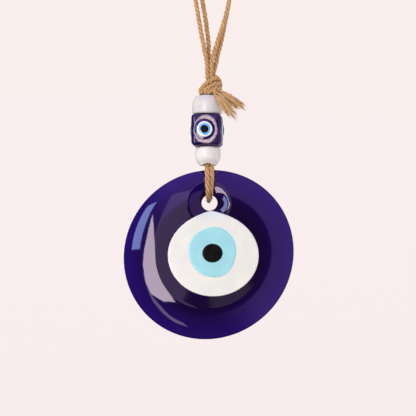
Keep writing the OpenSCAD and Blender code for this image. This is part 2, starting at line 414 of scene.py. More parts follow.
def spline(points, step=RING_STEP):
    """Points a fixed step apart on the smooth curve through the route's points."""
    p = np.asarray(points, float)
    p = np.vstack([2 * p[0] - p[1], p, 2 * p[-1] - p[-2]])
    t = np.linspace(0, 1, 24, endpoint=False)[:, None]
    parts = []
    for a, b, c, d in zip(p[:-3], p[1:-2], p[2:-1], p[3:]):
        parts.append(0.5 * (2 * b + (c - a) * t + (2 * a - 5 * b + 4 * c - d) * t ** 2
                            + (3 * b - a - 3 * c + d) * t ** 3))
    dense = np.vstack(parts + [p[-2]])
    run = distances_along(dense)
    count = max(2, int(round(run[-1] / step)) + 1)
    at = np.linspace(0, run[-1], count)
    return np.stack([np.interp(at, run, dense[:, k]) for k in range(3)], 1)


def length_of(line):
    return float(np.linalg.norm(np.diff(line, axis=0), axis=1).sum())


def turning_frames(line):
    """Two directions square to a line that turn with it as little as they can."""
    along = np.gradient(line, axis=0)
    along /= np.linalg.norm(along, axis=1)[:, None]
    side = np.cross(along[0], (0, 1, 0.01))
    side /= np.linalg.norm(side)
    sides = [side]
    for t in along[1:]:
        side = sides[-1] - t * np.dot(sides[-1], t)
        sides.append(side / np.linalg.norm(side))
    sides = np.array(sides)
    return along, sides, np.cross(along, sides)


class Twine:
    """Gathers the yarns and loose fibres of one piece of twine, then makes its mesh."""

    def __init__(self):
        self.points, self.faces, self.fibre, self.depth, self.kinds = [], [], [], [], []
        self.count = 0

    def add_tube(self, points, fibre, depth, sides, kind=0):
        """points is rings by sides; both ends are closed with a flat cap."""
        faces = capped_faces(len(points) // sides, sides)
        self.faces += [[v + self.count for v in f] for f in faces]
        self.kinds += [kind] * len(faces)
        self.points.append(points)
        self.fibre.append(fibre)
        self.depth.append(depth)
        self.count += len(points)

    def add_ply(self, line, along, centre, ply_r, s, ply, phase=0.0, reach=PLY_OFFSET + PLY_R):
        """One yarn about its own centre line; reach is from line to the twine's surface."""
        _, ply_side, ply_up = turning_frames(centre)
        k = angles(PLY_SIDES)
        ridge = 1 + 0.07 * np.sin(5 * k[None, :] + s[:, None] / (1.6 * MM) + ply)
        ring = circle_of(ply_side, ply_up, k)
        points = centre[:, None, :] + ring * (ply_r[:, None] * ridge)[:, :, None]
        forward = np.einsum("ijk,ik->ij", points - line[:, None, :], along)
        radial = points - line[:, None, :] - forward[:, :, None] * along[:, None, :]
        depth = np.linalg.norm(radial, axis=2) / (reach + 0 * s)[:, None]
        angle = k[None, :] + 0 * s[:, None]
        fibre = np.stack([np.cos(angle) * 1.2 + 7.3 * ply, np.sin(angle) * 1.2 + phase,
                          s[:, None] * 170 + 0 * angle], 2)
        self.add_tube(points.reshape(-1, 3), fibre.reshape(-1, 3), depth.ravel(), PLY_SIDES)

    def add_yarns(self, line, phase=0.0, swell=1.0, shade=1.0, pitch=LAY_PITCH):
        """The twisted plies along a line: swell sets their size and shade darkens them."""
        along, side, up = turning_frames(line)
        s = distances_along(line)
        swell = swell + 0 * s
        for ply in range(PLIES):
            turn = phase + TAU * ply / PLIES - TAU * s / pitch
            wobble = 1 + 0.10 * np.sin(s / (4.1 * MM) + 2.1 * ply + phase)
            centre = line + at_turn(side, up, turn) * (PLY_OFFSET * swell)[:, None]
            self.add_ply(line, along, centre, PLY_R * swell * wobble, s, ply, phase,
                         (PLY_OFFSET + PLY_R) * swell / shade)

    def add_hair(self, root, heading, length, thick, curl):
        """One loose fibre: a thin three-sided tube that tapers to its tip."""
        t = np.linspace(0, 1, 5)
        heading = heading / np.linalg.norm(heading)
        line = root + heading * (t * length)[:, None] + curl * (t ** 2)[:, None] * length
        _, side, up = turning_frames(line)
        width = thick * (1 - 0.75 * t)
        ring = circle_of(side, up, angles(3))
        points = (line[:, None, :] + ring * width[:, None, None]).reshape(-1, 3)
        fibre = np.tile(root * 2500, (len(points), 1))
        self.add_tube(points, fibre, np.ones(len(points)), 3, kind=1)

    def add_fuzz(self, line, per_mm, longest=1.9 * MM, thick=0.035 * MM):
        """Loose fibres that lean along the twine and stand a little off it."""
        along, side, up = turning_frames(line)
        total = int(length_of(line) / MM * per_mm)
        for _ in range(total):
            i = int(rng.integers(0, len(line)))
            angle = rng.uniform(0, TAU)
            out = math.cos(angle) * side[i] + math.sin(angle) * up[i]
            lean = along[i] * rng.choice([-1, 1]) * rng.uniform(0.8, 2.6)
            heading = out * rng.uniform(0.25, 0.9) + lean + rng.uniform(-0.3, 0.3, 3)
            length = longest * rng.uniform(0.3, 1.0)
            self.add_hair(line[i] + out * TWINE_R * 0.85, heading, length,
                          thick * rng.uniform(0.6, 1.2), rng.uniform(-0.3, 0.3, 3))

    def build(self, name, materials):
        obj = mesh_object(name, np.vstack(self.points), self.faces, materials[0],
                          {"fibre": np.vstack(self.fibre), "depth": np.concatenate(self.depth)})
        obj.data.materials.append(materials[1])
        obj.data.polygons.foreach_set("material_index", np.array(self.kinds, np.int32))
        return obj


def split_at(line, height):
    """Indices where a line crosses a height."""
    above = line[:, 2] > height
    return np.nonzero(above[1:] != above[:-1])[0] + 1


# Routes of the twine. Each turn of the loop goes up the left leg, over the crown and down the
# right leg, as [x, z]; both ends go on through the neck into the knot.
FRONT_TURN_Y = -0.0012
FRONT_TURN = [
    (-0.0021, -0.053), (-0.0029, -0.0485), (-0.004, -0.043), (-0.005, -0.037),
    (-0.006, -0.031), (-0.0069, -0.025), (-0.0075, -0.019), (-0.0075, -0.013),
    (-0.0065, -0.007), (-0.004, -0.0017), (0.0, 0.0011), (0.0043, 0.0002),
    (0.008, -0.0036), (0.0103, -0.009), (0.011, -0.015), (0.0107, -0.021),
    (0.0098, -0.027), (0.0087, -0.033), (0.0071, -0.0387), (0.0054, -0.044),
    (0.0039, -0.0485), (0.0024, -0.053)
]
BACK_TURN_Y = 0.0012
BACK_TURN = [
    (-0.0003, -0.053), (-0.0003, -0.0485), (-0.0009, -0.043), (-0.0017, -0.037),
    (-0.0027, -0.031), (-0.0039, -0.025), (-0.005, -0.019), (-0.0056, -0.013),
    (-0.0053, -0.007), (-0.0034, -0.0019), (0.0, 0.0011), (0.0039, 0.0002),
    (0.0073, -0.0035), (0.0095, -0.0088), (0.0104, -0.0148), (0.0103, -0.021),
    (0.0097, -0.027), (0.0088, -0.033), (0.0076, -0.0387), (0.0066, -0.044),
    (0.0056, -0.0485), (0.0044, -0.053)
]
# The four legs below the loop, as [x, y, z], downwards
LEGS = {
    "front_left": [
        (-0.0013, -0.0014, -0.057), (-0.0009, -0.0014, -0.06), (-0.0009, -0.0012, -0.063),
        (-0.0006, -0.0009, -0.0665), (-0.0002, -0.0004, -0.07), (-0.0004, 0.0004, -0.0745)
    ],
    "front_right": [
        (0.0014, -0.0016, -0.057), (0.0012, -0.0016, -0.06), (0.0012, -0.0014, -0.063),
        (0.0014, -0.0008, -0.0665), (0.0016, -0.0002, -0.07), (0.001, 0.0006, -0.0745)
    ],
    "back_left": [
        (-0.0001, 0.0012, -0.057), (-0.0001, 0.0012, -0.06), (0.0, 0.0012, -0.063),
        (0.0002, 0.0012, -0.0665), (0.0002, 0.0014, -0.07), (-0.0006, 0.0016, -0.0745)
    ],
    "back_right": [
        (0.0036, 0.0008, -0.057), (0.0029, 0.0006, -0.06), (0.0021, 0.0007, -0.063),
        (0.0021, 0.001, -0.0665), (0.0018, 0.0014, -0.07), (0.0008, 0.0016, -0.0745)
    ]
}
# The knot's turns around the legs: from behind on the left, up across the front, over the right
# side and down behind it
WRAPS = {
    "arch_outer": [
        (-0.0036, 0.0005, -0.0729), (-0.004, -0.0012, -0.0721), (-0.0034, -0.0026, -0.0706),
        (-0.0018, -0.0034, -0.069), (0.0004, -0.0038, -0.0674), (0.0026, -0.0034, -0.0661),
        (0.0043, -0.0022, -0.0661), (0.0051, -0.0008, -0.0678), (0.0052, -0.0002, -0.07),
        (0.0046, 0.0, -0.0718), (0.0036, 0.0006, -0.0728)
    ],
    "arch_inner": [
        (-0.003, 0.0008, -0.073), (-0.0034, -0.0016, -0.0728), (-0.0024, -0.0032, -0.0719),
        (-0.0006, -0.004, -0.0709), (0.0014, -0.0042, -0.0696), (0.0032, -0.0039, -0.0686),
        (0.0044, -0.0028, -0.0689), (0.005, -0.0018, -0.0704), (0.0044, -0.0014, -0.0722)
    ],
    "band_low": [
        (-0.0026, -0.0016, -0.073), (-0.0016, -0.0032, -0.0729), (0.0002, -0.0041, -0.0726),
        (0.0022, -0.0044, -0.0717), (0.0038, -0.0041, -0.0709), (0.0049, -0.003, -0.0714),
        (0.0046, -0.0022, -0.0727)
    ],
    "bulge": [
        (0.003, -0.0008, -0.0649), (0.0043, -0.0002, -0.0664), (0.005, 0.0008, -0.0686),
        (0.0048, 0.0014, -0.071), (0.0036, 0.0014, -0.0728)
    ],
    "back_high": [
        (-0.0034, 0.0016, -0.0726), (-0.0026, 0.003, -0.071), (-0.0004, 0.0036, -0.0694),
        (0.002, 0.0034, -0.0678), (0.0039, 0.0024, -0.067), (0.005, 0.001, -0.0676)
    ],
    "back_low": [
        (-0.0028, 0.0024, -0.0729), (-0.0008, 0.0036, -0.0722), (0.0016, 0.0038, -0.071),
        (0.0036, 0.003, -0.0702), (0.0049, 0.0014, -0.0704)
    ]
}
# The cut ends, from inside the knot outwards
TAILS = {
    "tail_upper": [
        (0.0016, -0.0024, -0.0713), (0.0042, -0.0038, -0.0726), (0.0067, -0.0046, -0.0741),
        (0.0097, -0.005, -0.076), (0.0131, -0.0052, -0.0784), (0.016, -0.0054, -0.0806)
    ],
    "tail_lower": [
        (0.0018, -0.0037, -0.0723), (0.0034, -0.0056, -0.0736), (0.005, -0.0071, -0.0759),
        (0.0073, -0.0079, -0.079), (0.0096, -0.0082, -0.0824), (0.0115, -0.0084, -0.085)
    ]
}
# The middle of the sling's two strands, as [y, z], down the face, through the hole and up the back
SLING = [
    (-0.0012, -0.105), (-0.0012, -0.1081), (-0.002, -0.1093), (-0.0031, -0.111),
    (-0.0041, -0.1134), (-0.0053, -0.1184), (-0.0052, -0.1211), (-0.0036, -0.1231),
    (0.0, -0.1235), (0.0031, -0.1235), (0.0052, -0.1224), (0.0062, -0.1196),
    (0.0061, -0.1146), (0.0053, -0.111), (0.004, -0.1091), (0.0024, -0.1084),
    (0.0012, -0.1079), (0.0012, -0.105)
]
SLING_X = 0.0002
# The four strands inside the beads stand at the corners of a square
STRANDS_X = -0.0002
STRANDS_APART = 2.3 * MM
STRANDS_Z = (-0.0738, -0.0840, -0.0940, -0.1040)


def loop_and_legs(name, route, y, left, right, materials, phase):
    """One turn of the loop and the two legs below it, in three meshes whose yarns meet."""
    whole = spline(LEGS[left][::-1] + [(x, y, z) for x, z in route] + LEGS[right])
    first, last = split_at(whole, SEAM_Z)[[0, -1]]
    full = Twine()
    full.add_yarns(whole, phase)
    made = []
    for part, a, b in ((left, 0, first + 1), (name, first, last + 1), (right, last, len(whole))):
        twine = Twine()
        cut = slice(a * PLY_SIDES, b * PLY_SIDES)
        for points, fibre, depth in zip(full.points, full.fibre, full.depth):
            twine.add_tube(points[cut], fibre[cut], depth[cut], PLY_SIDES)
        twine.add_fuzz(whole[a:b], LOOP_FUZZ)
        made.append((twine.build("twine_" + part, materials), whole[a:b]))
    return made


def bend_between(obj):
    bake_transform(obj)


def make_loop(materials):
    turns = []
    for name, route, y, left, right, phase in (
            ("loop_turn_front", FRONT_TURN, FRONT_TURN_Y, "front_left", "front_right", 0.4),
            ("loop_turn_back", BACK_TURN, BACK_TURN_Y, "back_left", "back_right", 1.7)):
        low_left, turn, low_right = loop_and_legs(name, route, y, left, right, materials, phase)
        bend_between(turn[0])
        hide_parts(name)
        for leg, _ in (low_left, low_right):
            bend_between(leg)
            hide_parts("neck_strands")
        turns.append((turn, low_left[0], low_right[0]))
    return turns


def make_knot(materials):
    twine = Twine()
    for i, route in enumerate(WRAPS.values()):
        line = spline(route)
        twine.add_yarns(line, phase=0.9 * i)
        twine.add_fuzz(line, KNOT_FUZZ)
    knot = twine.build("twine_knot", materials)
    label(knot, "knotted_stem", "knot")
    return knot


# Each ply of a tail ends at its own share of the tail's length
PLY_ENDS = (0.86, 1.0, 0.92)
END_FIBRES = 150


def make_tail(name, materials):
    """A cut end: its plies lose their twist, fan out side by side and break up into fibres."""
    line = spline(TAILS[name])
    along, side, up = turning_frames(line)
    across = np.cross(along, (0, 1, 0))
    s = distances_along(line)
    share = s / s[-1]
    fan = smooth_step(share / 0.45)
    twine = Twine()
    for ply in range(PLIES):
        turn = 0.5 + TAU * ply / PLIES - TAU * s / LAY_PITCH
        flat = (ply - 1) * across + 0.35 * np.array([0, (-1) ** ply, 0])
        out = at_turn(side, up, turn) * (PLY_OFFSET * (1 - fan))[:, None]
        out += flat * (fan * (0.95 + 0.65 * share) * MM)[:, None]
        end = int(len(line) * PLY_ENDS[ply])
        own = share[:end] / share[end - 1]
        ply_r = PLY_R * (1 + 0.45 * fan[:end]) * (1 - 0.45 * smooth_step((own - 0.75) / 0.25))
        centre = (line + out)[:end]
        twine.add_ply(line[:end], along[:end], centre, ply_r, s[:end], ply, reach=1.25 * MM)
        for _ in range(END_FIBRES):
            i = int(end * rng.uniform(0.30, 0.99))
            angle = rng.uniform(0, TAU)
            away = math.cos(angle) * side[i] + math.sin(angle) * up[i]
            heading = along[i] + away * rng.uniform(0.0, 0.30) + rng.normal(0, 0.06, 3)
            twine.add_hair(centre[i] + away * ply_r[i] * rng.uniform(0.3, 1.0), heading,
                           rng.uniform(1.5, 3.2) * MM, rng.uniform(0.06, 0.13) * MM,
                           rng.normal(0, 0.10, 3))
    tail = twine.build("twine_" + name, materials)
    label(tail, "knotted_stem", name)
    return tail


def make_bead_strands(materials):
    """The four strands through the beads: plain runs of twine that only their gaps show."""
    twine = Twine()
    for sx in (-1, 1):
        for sy in (-1, 1):
            x, y = STRANDS_X + sx * STRANDS_APART / 2, sy * STRANDS_APART / 2
            line = spline([(x, y, z) for z in STRANDS_Z], 2 * RING_STEP)
            twine.add_yarns(line, phase=sx + 2 * sy)
    strands = twine.build("twine_in_beads", materials)
    label(strands, "knotted_stem", "bead_strands")
    return strands


# The sling's lay, its strands' distance from its middle, and the rings without fuzz at its ends
SLING_PITCH = 9.5 * MM
SLING_OFFSET = 1.12 * MM
SLING_BARE = 12


def make_sling(materials):
    """Two strands that cross as they go down the face, through the hole and up the back.

    The hole squeezes them together and shades them, and they thin out under the lower bead.
    """
    middle = spline([(SLING_X, y, z) for y, z in SLING])
    share = np.linspace(0, 1, len(middle))
    turn = -math.pi / 3 * (smooth_step((share - 0.02) / 0.43)
                           + 2 * smooth_step((share - 0.50) / 0.44))
    in_hole = np.exp(-((share - 0.47) / 0.13) ** 2)
    swell = 1.08 - 0.16 * in_hole - 0.15 * smooth_step((share - 0.84) / 0.07)
    along = turning_frames(middle)[0]
    across = np.array([[1.0, 0, 0]])
    offset = at_turn(across, np.cross(along, across), turn)
    apart = (SLING_OFFSET * (1 - 0.40 * in_hole))[:, None]
    made = []
    for name, hand in (("sling_strand_left", -1), ("sling_strand_right", 1)):
        line = middle + hand * offset * apart
        twine = Twine()
        twine.add_yarns(line, 0.8 * hand, swell, 1 - 0.65 * in_hole, SLING_PITCH)
        twine.add_fuzz(line[SLING_BARE:-SLING_BARE], SLING_FUZZ, longest=1.8 * MM)
        strand = twine.build("twine_" + name, materials)
        label(strand, "sling", name)
        made.append((strand, line))
    return made


# -------- disc


def face_height(r):
    """The face above the disc's back at radius r, without the bowl: steepest at the rim."""
    u = np.clip((r - PLATEAU_R) / (DISC_R - PLATEAU_R), 0, 1)
    face = RIM_H + (DISC_T - RIM_H) * (1 - u ** SHOULDER_BEND) ** RIM_BEND
    return face - CROWN * smooth_step(r / (1.3 * PLATEAU_R)) * (1 - u ** 4)


def oval(points):
    """How much further out the disc's oval outline lies in each point's direction."""
    angle = np.arctan2(points[..., 1], points[..., 0])
    return 1 + OVAL * np.cos(2 * (angle - OVAL_ANGLE))


def front_height(points):
    """Height of the face at points of the disc's plane, with the bowl around the hole."""
    r = np.linalg.norm(points, axis=-1) / oval(points)
    face = face_height(r - LEAN * points[..., 0] / DISC_R * (1 - (r / DISC_R) ** 4))
    d = np.linalg.norm(points - HOLE_AT, axis=-1)
    left = 1 - np.clip((d - MOUTH_R) / (BOWL_R - MOUTH_R), 0, 1)
    mouth = (MOUTH_DEPTH - BOWL_DEPTH) * (1 - smooth_step((d - HOLE_R) / (MOUTH_R - HOLE_R)))
    return face - BOWL_DEPTH * left ** BOWL_BEND - mouth


def on_disc(points, height):
    """Points of the disc's plane at a height above its back, in the frame."""
    return np.stack([DISC_X + points[..., 0], DISC_BACK - height, DISC_Z + points[..., 1]], -1)


# Rings lie round the hole up to the first radius and round the disc from the second one
FRONT_RINGS = (11.2 * MM, 37.6 * MM)
BACK_RINGS = (8.5 * MM, 33.4 * MM)


def disc_rings(radii, sides, inner, outer):
    """Rings round the hole where they are small and round the disc where they are big."""
    a = angles(sides)
    direction = np.stack([np.cos(a), np.sin(a)], 1)
    rings = []
    for r in radii:
        share = np.clip((r - inner) / (outer - inner), 0, 1)
        centre = HOLE_AT * (1 - share)
        ring = centre + direction * r
        rings.append(ring * (1 + (oval(ring)[:, None] - 1) * share ** 2))
    return np.array(rings)


def hollow(points):
    """Depth of the hollow around the hole in the back."""
    d = np.linalg.norm(points - HOLE_AT, axis=-1)
    return BACK_BOWL_DEPTH * np.clip(1 - (d / BACK_BOWL_R) ** 2, 0, 1)


def make_glass_disc(material):
    """One closed skin: the face, the edge, the back and the hole's wall, ring after ring."""
    sides = 300
    near = np.linspace(HOLE_R, FRONT_RINGS[0], 26)
    middle = np.linspace(*FRONT_RINGS, 100)[1:]
    rim = DISC_R - (DISC_R - FRONT_RINGS[1]) * np.linspace(1, 0, 18)[1:] ** 2
    front = disc_rings(np.concatenate([near, middle, rim]), sides, *FRONT_RINGS)
    front_h = front_height(front)
    front_h[-1] = RIM_H
    edge_turn = np.linspace(0, math.pi / 2, 12)[1:]
    edge_r = BACK_FLAT_R + (DISC_R - BACK_FLAT_R) * np.cos(edge_turn)
    edge = front[-1] * (edge_r / DISC_R)[:, None, None]
    edge_h = np.maximum((RIM_H - RIM_H * np.sin(edge_turn))[:, None], hollow(edge))
    back_r = np.concatenate([np.linspace(*BACK_RINGS[::-1], 31),
                             np.linspace(8.2 * MM, HOLE_R, 14)])
    back = disc_rings(back_r, sides, *BACK_RINGS)
    back_h = hollow(back)
    wall_h = np.linspace(back_h[-1, 0], front_h[0, 0], 12)[1:-1]
    wall = np.repeat(front[:1], len(wall_h), 0)
    flat = np.concatenate([front, edge, back, wall])
    height = np.concatenate([front_h, edge_h, back_h, np.repeat(wall_h[:, None], sides, 1)])
    r = np.linalg.norm(flat, axis=-1) / oval(flat)
    # thick also sets the painted light through the thin rim in the cobalt material
    thick = np.clip((DISC_R - r) / (DISC_R - PLATEAU_R), 0, 1)
    faces = ring_faces(len(flat), sides, closed=True, flip=True)
    disc = mesh_object("evil_eye_disc", on_disc(flat, height).reshape(-1, 3), faces, material,
                       {"thick": thick.ravel()})
    label(disc, "eye_disc", "glass_disc")


def poured_layer(name, centre, outline, lift, edge, crown, material, node):
    """A layer poured on the face, fuller over the bowl: rings inwards, with a rounded edge."""
    sides = len(outline)
    shares = 1 - np.concatenate([np.linspace(0, 0.12, 12), np.linspace(0.14, 0.985, 34)])
    rings = np.asarray(centre) + outline[None, :, :] * shares[:, None, None]
    inward = (1 - shares)[:, None] * np.linalg.norm(outline, axis=1)[None, :]
    rise = np.sqrt(1 - (1 - np.clip(inward / edge, 0, 1)) ** 2)
    face = front_height(rings)
    base = face + BOWL_FILL * (face_height(np.linalg.norm(rings, axis=-1)) - face)
    top = base + lift * rise + crown * (1 - shares[:, None] ** 2)
    foot = base[:1] - 0.5 * MM
    flat = np.concatenate([rings[:1], rings])
    points = on_disc(flat, np.concatenate([foot, top])).reshape(-1, 3)
    layer = mesh_object(name, points, capped_faces(len(flat), sides), material)
    label(layer, "eye_disc", node)


# Half sizes of the eye's parts, and the bearing of the white's point and its share of the radius
WHITE_HALF = (21.5 * MM, 19.3 * MM)
POINT_AT = math.radians(93)
POINT_OUT = 0.095
IRIS_LEFT = 13.1 * MM
IRIS_RIGHT = 9.9 * MM
IRIS_UP = 12.1 * MM
PUPIL_HALF = (4.9 * MM, 4.6 * MM)


def white_outline():
    """An oval with an upper point that reaches the edge of the hole."""
    a = angles(240)
    off = np.degrees(np.abs((a - POINT_AT + math.pi) % TAU - math.pi))
    share = 1 + POINT_OUT * np.exp((3 - np.sqrt(off ** 2 + 9)) / 16)
    return np.stack([WHITE_HALF[0] * np.cos(a) * share, WHITE_HALF[1] * np.sin(a) * share], 1)


def iris_outline():
    """A wavy circle that reaches further to the left of its centre than to the right."""
    a = angles(180)
    reach = np.where(np.cos(a) < 0, IRIS_LEFT, IRIS_RIGHT)
    wave = 1 + 0.012 * np.sin(3 * a + 0.6) + 0.006 * np.sin(5 * a)
    return np.stack([reach * np.cos(a) * wave, IRIS_UP * np.sin(a) * wave], 1)


def pupil_outline():
    a = angles(120)
    wave = 1 + 0.010 * np.sin(2 * a + 1.0)
    return np.stack([PUPIL_HALF[0] * np.cos(a) * wave, PUPIL_HALF[1] * np.sin(a) * wave], 1)


# -------- beads


def bead_profile(d, h, top_round, bottom_round, hole_r, mouth, taper):
    """The half section of a round bead as (radius, height), from the hole's foot round and up."""
    def arc(cx, cz, rx, rz, a, b, n, bend=1):
        t = np.radians(np.linspace(a, b, n))
        cos = np.sign(np.cos(t)) * np.abs(np.cos(t)) ** bend
        return np.stack([cx + rx * cos, cz + rz * np.sin(t)], 1)
    r = d / 2
    outer_low = arc(r - bottom_round[0], bottom_round[1], *bottom_round, -90, 0, 20, taper)
    outer_high = arc(r - top_round[0], h - top_round[1], *top_round, 0, 90, 20)
    return np.vstack([
        arc(hole_r + mouth, mouth, mouth, mouth, 180, 270, 8),
        np.linspace([hole_r + mouth, 0], [r - bottom_round[0], 0], 5)[1:-1],
        outer_low,
        np.linspace(outer_low[-1], outer_high[0], 8)[1:-1],
        outer_high,
        np.linspace([r - top_round[0], h], [hole_r + mouth, h], 5)[1:-1],
        arc(hole_r + mouth, h - mouth, mouth, mouth, 90, 180, 8),
        np.linspace([hole_r, h - mouth], [hole_r, mouth], 14)[1:-1]])


BEAD_HOLE_R = 3.5 * MM


def make_round_bead(node, d, h, top_round, bottom_round, dent, material,
                    mouth=0.7, taper=1, notch=0):
    """A hand-wound bead, sizes in millimetres: a turned profile, a little uneven round its sides.

    taper pulls its foot in, and notch is how far its foot lifts at the front.
    """
    sides = 128
    low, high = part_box(node)
    centre = (low.x + high.x) / 2
    profile = bead_profile(d * MM, h * MM, [x * MM for x in top_round],
                           [x * MM for x in bottom_round], BEAD_HOLE_R, mouth * MM, taper)
    a = angles(sides)[None, :]
    r, z = profile[:, :1], profile[:, 1:]
    outside = smooth_step((r - 4.6 * MM) / (1.5 * MM))
    uneven = 1 - outside * dent * (0.5 + 0.5 * np.sin(3 * a + 400 * z + d))
    uneven = uneven - outside * dent * 0.5 * (0.5 + 0.5 * np.sin(7 * a - 300 * z))
    front = np.exp(-((a - 1.5 * math.pi) / 0.62) ** 2)
    raised = notch * MM * front * (1 - smooth_step(z / (3 * MM)))
    points = np.stack([centre + r * uneven * np.cos(a), r * uneven * np.sin(a),
                       low.z + z + raised], -1)
    faces = ring_faces(len(profile), sides, closed=True)
    bead = mesh_object(node + "_glass", points.reshape(-1, 3), faces, material)
    label(bead, node, node)


CUBE_W = 14.2 * MM
CUBE_H = 15.3 * MM
CUBE_ROUND = 2 * MM
CUBE_TURN = math.radians(-5)
CUBE_MOUTH = 0.6 * MM
CUBE_SIDE_RINGS = 46
# Each face has a mound with the eye on it, beside its middle, and an oval raised ring around that,
# painted pale as a reflection
DOT_SHIFT = -0.6 * MM
MOUND_R = 5.2 * MM
MOUND_H = 0.7 * MM
MOUND_CURVE = (MOUND_R ** 2 + MOUND_H ** 2) / (2 * MOUND_H)
RING_INNER = 4.9 * MM
RING_SHIFT = 0.45 * MM
RING_ACROSS = 5.65 * MM
RING_UP = 6.75 * MM
RING_RISE = 0.16 * MM
CUBE_X = (cube_low.x + cube_high.x) / 2
CUBE_Z = (cube_low.z + cube_high.z) / 2
EYE_FACES = {"front": 0, "right": 90, "back": 180, "left": 270}


def turned(points, angle):
    """Points turned about the cube bead's upright axis and put in their place in the frame."""
    c, s = math.cos(angle), math.sin(angle)
    x, y = points[..., 0], points[..., 1]
    return np.stack([CUBE_X + c * x - s * y, s * x + c * y, CUBE_Z + points[..., 2]], -1)


def square_outline(half, corner):
    """A square of half width half, with its corners rounded outwards by corner."""
    per_side, per_corner = 44, 9
    points = []
    for k in range(4):
        turn = k * math.pi / 2
        c, s = math.cos(turn), math.sin(turn)
        for t in np.linspace(-1, 1, per_side):
            points.append((c * (half + corner) - s * half * t, s * (half + corner) + c * half * t))
        for t in np.linspace(0, math.pi / 2, per_corner + 2)[1:-1]:
            x, y = half + corner * math.cos(t), half + corner * math.sin(t)
            points.append((c * x - s * y, s * x + c * y))
    return np.array(points)


def make_cube_bead(material):
    """Rings from the upper mouth over the top, down the sides, under the foot and up the hole."""
    half = CUBE_W / 2 - CUBE_ROUND
    flat_h = CUBE_H / 2 - CUBE_ROUND
    sharp = 1e-6
    core = square_outline(half, sharp)
    theta = np.arctan2(core[:, 1], core[:, 0])
    circle = np.stack([np.cos(theta), np.sin(theta)], 1)
    rings = []

    def ring(flat, z):
        rings.append(np.column_stack([flat, np.full(len(flat), z)]))

    for t in np.linspace(0, math.pi / 2, 7):
        ring(circle * (BEAD_HOLE_R + CUBE_MOUTH * (1 - math.cos(t))),
             CUBE_H / 2 - CUBE_MOUTH * (1 - math.sin(t)))
    for share in np.linspace(0, 1, 8)[1:-1]:
        ring(circle * (BEAD_HOLE_R + CUBE_MOUTH) * (1 - share) + core * share, CUBE_H / 2)
    for t in np.linspace(math.pi / 2, 0, 10):
        ring(square_outline(half, max(sharp, CUBE_ROUND * math.cos(t))),
             flat_h + CUBE_ROUND * math.sin(t))
    upper = len(rings)
    side = square_outline(half, CUBE_ROUND)
    for z in np.linspace(flat_h, -flat_h, CUBE_SIDE_RINGS + 2)[1:-1]:
        ring(side, z)
    for k in range(upper - 1, -1, -1):
        ring(rings[k][:, :2], -rings[k][0, 2])
    for z in np.linspace(-CUBE_H / 2 + CUBE_MOUTH, CUBE_H / 2 - CUBE_MOUTH, 14)[1:-1]:
        ring(circle * BEAD_HOLE_R, z)
    points = np.array(rings)
    ring_sheen = np.zeros(points.shape[:2])
    for turn in EYE_FACES.values():
        angle = math.radians(turn)
        out = np.array([math.sin(angle), -math.cos(angle), 0])
        across = np.array([math.cos(angle), math.sin(angle), 0])
        u = points @ across - DOT_SHIFT
        w = points[..., 2]
        facing = smooth_step((points @ out - (CUBE_W / 2 - 1.2 * MM)) / (1.0 * MM))
        d = np.hypot(u, w)
        around = np.arctan2(w, u)
        dome = np.sqrt(np.clip(MOUND_CURVE ** 2 - d ** 2, 0, None)) - (MOUND_CURVE - MOUND_H)
        mound = np.where(d < MOUND_R, dome, 0)
        middle = np.hypot((u - RING_SHIFT) / RING_ACROSS, w / RING_UP)
        uneven = 0.02 * np.sin(3 * around + 0.9) + 0.015 * np.sin(7 * around)
        ring_band = (smooth_step((d - RING_INNER) / (0.35 * MM))
                     * (1 - smooth_step((middle - 0.95 + uneven) / 0.09)))
        rise = mound + RING_RISE * ring_band
        points = points + out * (rise * facing)[..., None]
        # Where the pale painted reflection goes on the cube's colour
        ring_sheen = np.maximum(ring_sheen, ring_band * facing)
    faces = ring_faces(*points.shape[:2], closed=True)
    bead = mesh_object("cube_bead_glass", turned(points, CUBE_TURN).reshape(-1, 3), faces,
                       material, {"ring_sheen": ring_sheen.ravel()})
    label(bead, "cube_bead", "cube_bead")


DOT_EDGE = 0.16


def make_dot(face, part, radius, lift, material):
    """One layer of a bead eye: a cap on the mound with a rounded edge and a flat foot."""
    sides = 72
    a = angles(sides)
    shares = np.concatenate([1 - np.linspace(0, DOT_EDGE, 7), np.linspace(0.80, 0.04, 14)])
    wave = 1 + 0.012 * np.sin(3 * a + radius * 4000)
    d = radius * shares[:, None] * wave[None, :]
    rise = np.sqrt(1 - (1 - np.clip((1 - shares) / DOT_EDGE, 0, 1)) ** 2)[:, None]
    top = np.sqrt(MOUND_CURVE ** 2 - d ** 2) - (MOUND_CURVE - MOUND_H) + lift * rise
    u, w = d * np.cos(a), d * np.sin(a)
    u = np.concatenate([u[:1], u])
    w = np.concatenate([w[:1], w])
    out = np.concatenate([top[:1] - 0.4 * MM, top])
    local = np.stack([u + DOT_SHIFT, -(CUBE_W / 2 + out), w], -1)
    points = turned(local, CUBE_TURN + math.radians(EYE_FACES[face])).reshape(-1, 3)
    node = f"{face}_eye_{part}"
    dot = mesh_object("bead_" + node, points, capped_faces(len(u), sides), material)
    label(dot, "cube_bead", node)


# -------- stage


def make_stage():
    """A pale bowl with a flat floor, so that every view has the same plain background."""
    sides = 96
    floor_z, floor_r, wall_r, top = -0.45, 1.4, 2.2, 2.4
    t = np.linspace(0, math.pi / 2, 16)
    radius = np.concatenate([[0.02, 0.5, 1.0], floor_r + (wall_r - floor_r) * np.sin(t), [wall_r]])
    height = np.concatenate([[floor_z] * 3, floor_z + (wall_r - floor_r) * (1 - np.cos(t)), [top]])
    a = angles(sides)
    points = np.stack([radius[:, None] * np.cos(a), radius[:, None] * np.sin(a),
                       height[:, None] + 0 * a], -1).reshape(-1, 3)
    s = Shader("pale_wall", Base_Color=(0.28, 0.25, 0.24, 1), Roughness=0.9,
               Specular_IOR_Level=0.0, Emission_Color=(1.0, 0.935, 0.88, 1),
               Emission_Strength=0.705)
    faces = ring_faces(len(radius), sides) + [list(range(sides))[::-1]]
    bowl = mesh_object("backdrop", points, faces, s.material)
    bowl.visible_glossy = False


